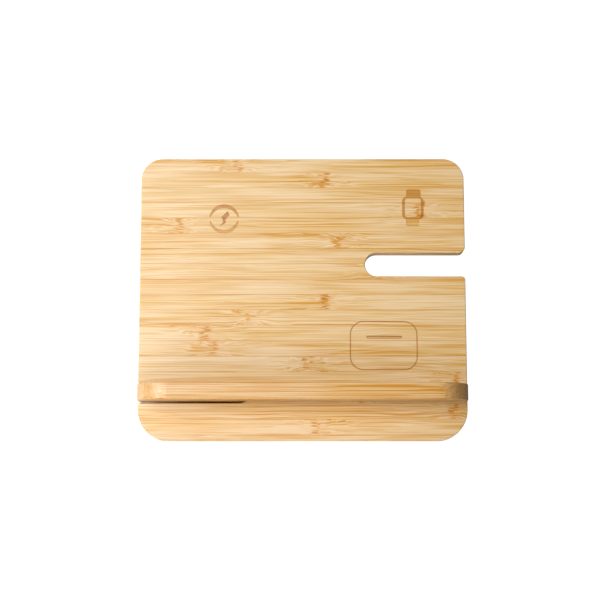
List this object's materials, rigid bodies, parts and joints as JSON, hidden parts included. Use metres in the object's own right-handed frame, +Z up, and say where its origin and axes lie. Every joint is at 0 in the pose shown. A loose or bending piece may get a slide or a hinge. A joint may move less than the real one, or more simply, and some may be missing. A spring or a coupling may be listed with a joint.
{
  "type": "charging station organizer",
  "caption": "Tilted bamboo charging stand of interlocking boards, with a device ledge, a watch-band slot and a covered charging module behind.",
  "frame": {"origin": "on the table, under the middle of the overall box", "axes": "+X to the right seen from the front, +Y to the rear, +Z up; the panel leans back 25 degrees from upright"},
  "size_m": [0.2, 0.0924, 0.1589],
  "materials": {
    "bamboo": "sanded and oiled bamboo",
    "black_cover": "fine textured moulding",
    "black_steel": "black oxide",
    "zinc_steel": "zinc plated",
    "silicone": "matte",
    "circuit_board": "solder mask",
    "inlet_shell": "drawn stainless steel",
    "black_moulding": "moulded",
    "capacitor_ceramic": "fired",
    "ferrite": "sintered",
    "copper_wire": "enamelled copper strand",
    "magnet_plating": "nickel plated",
    "foam": "closed cell foam"
  },
  "bodies": {
    "panel": {"main_panel": "bamboo", "rear_cover": "black_cover", "cover_screws": "black_steel", "panel_feet": "silicone", "main_board": "circuit_board", "board_screws": "zinc_steel", "usb_c_shell": "inlet_shell", "usb_c_tongue": "black_moulding", "controller_chip": "black_moulding", "driver_chips": "black_moulding", "resonance_capacitors": "capacitor_ceramic", "power_inductors": "ferrite", "phone_coil": "copper_wire", "phone_ferrite": "ferrite", "phone_coil_leads": "copper_wire", "watch_coil": "copper_wire", "watch_ferrite": "ferrite", "watch_magnet": "magnet_plating", "watch_coil_leads": "copper_wire", "earbud_coil": "copper_wire", "earbud_ferrite": "ferrite", "earbud_coil_leads": "copper_wire", "coil_foam_pads": "foam"},
    "cross_board": {"cross_board": "bamboo", "leg_feet": "silicone"}
  },
  "joints": [
    {"name": "cross_board_slide", "type": "slide", "parent": "panel", "child": "cross_board", "axis": [-1, 0, 0], "range_m": [0, 0.205]}
  ]
}
